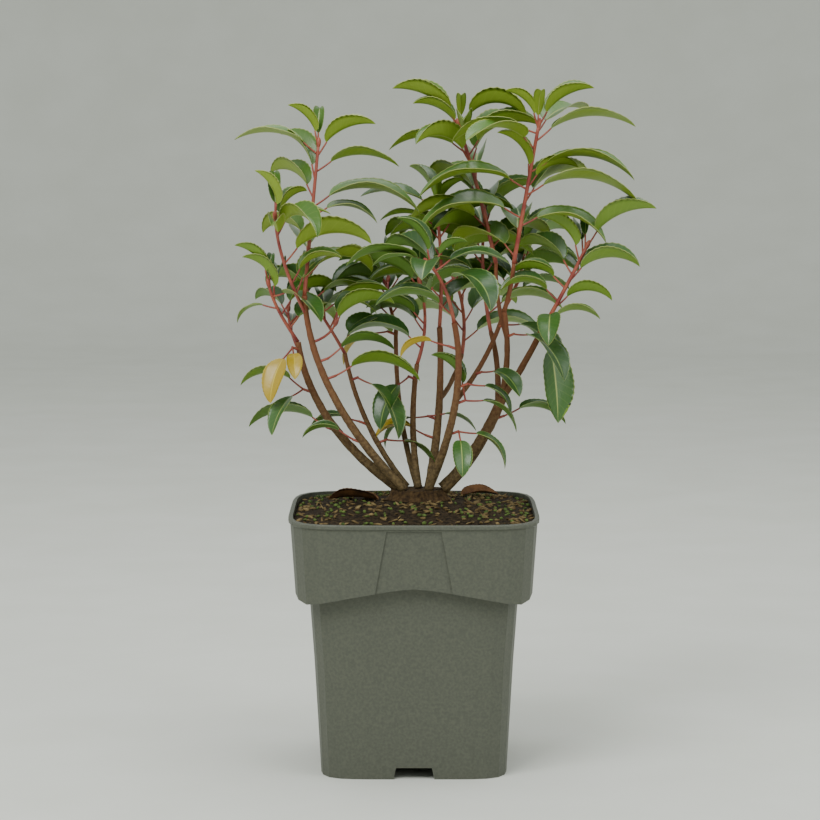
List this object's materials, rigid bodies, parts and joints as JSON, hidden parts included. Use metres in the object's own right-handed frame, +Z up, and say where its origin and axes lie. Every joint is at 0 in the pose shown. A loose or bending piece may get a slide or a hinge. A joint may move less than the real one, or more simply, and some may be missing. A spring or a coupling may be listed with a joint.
{
  "type": "potted Portuguese laurel shrub",
  "caption": "Young evergreen laurel shrub with red twigs and glossy arched leaves, standing in a square plastic nursery pot.",
  "frame": {"origin": "middle of the pot's flat underside", "axes": "+Z up along the pot's axis, -Y to the front that the picture shows, +X to its right"},
  "size_m": [0.2615, 0.2196, 0.4252],
  "materials": {
    "pot_plastic": "matte",
    "potting_soil": "rough",
    "bark": "rough",
    "green_leaf": "satin",
    "yellow_leaf": "satin"
  },
  "bodies": {
    "root": {"bough_back": "bark", "bough_cross": "bark", "bough_inner": "bark", "bough_right": "bark", "bough_top_middle": "bark", "bough_top_right": "bark", "bough_upper": "bark", "leaf_cross_low": "green_leaf", "leaf_cross_upper": "green_leaf", "leaf_foot_left": "green_leaf", "leaf_front_upper": "green_leaf", "leaf_hanging": "green_leaf", "leaf_left": "green_leaf", "leaf_left_upper": "green_leaf", "leaf_low_left": "green_leaf", "leaf_middle_left": "green_leaf", "leaf_orange": "green_leaf", "leaf_right_low": "green_leaf", "leaf_thin_low": "green_leaf", "leaf_thin_middle": "green_leaf", "leaf_thin_upper": "green_leaf", "leaf_upper": "green_leaf", "leaf_yellow_front": "yellow_leaf", "leaf_yellow_middle": "yellow_leaf", "leaves_front_low": "green_leaf", "leaves_front_side": "green_leaf", "leaves_middle": "green_leaf", "leaves_side_left": "green_leaf", "leaves_yellow_left": "yellow_leaf", "pot": "pot_plastic", "root_crown": "bark", "shoot_back": "green_leaf", "shoot_back_left": "green_leaf", "shoot_back_right": "green_leaf", "shoot_front": "green_leaf", "shoot_inner": "green_leaf", "shoot_left_front": "green_leaf", "shoot_left_top": "green_leaf", "shoot_low_left": "green_leaf", "shoot_middle": "green_leaf", "shoot_middle_left": "green_leaf", "shoot_outer_left": "green_leaf", "shoot_right": "green_leaf", "shoot_side_left": "green_leaf", "shoot_thin_left": "green_leaf", "shoot_top_middle": "green_leaf", "shoot_top_right": "green_leaf", "soil": "potting_soil", "stem_back_left": "bark", "stem_front": "bark", "stem_left": "bark", "stem_middle": "bark", "stem_middle_left": "bark", "stem_outer_left": "bark", "stem_right": "bark", "stem_thin_left": "bark"}
  },
  "joints": []
}
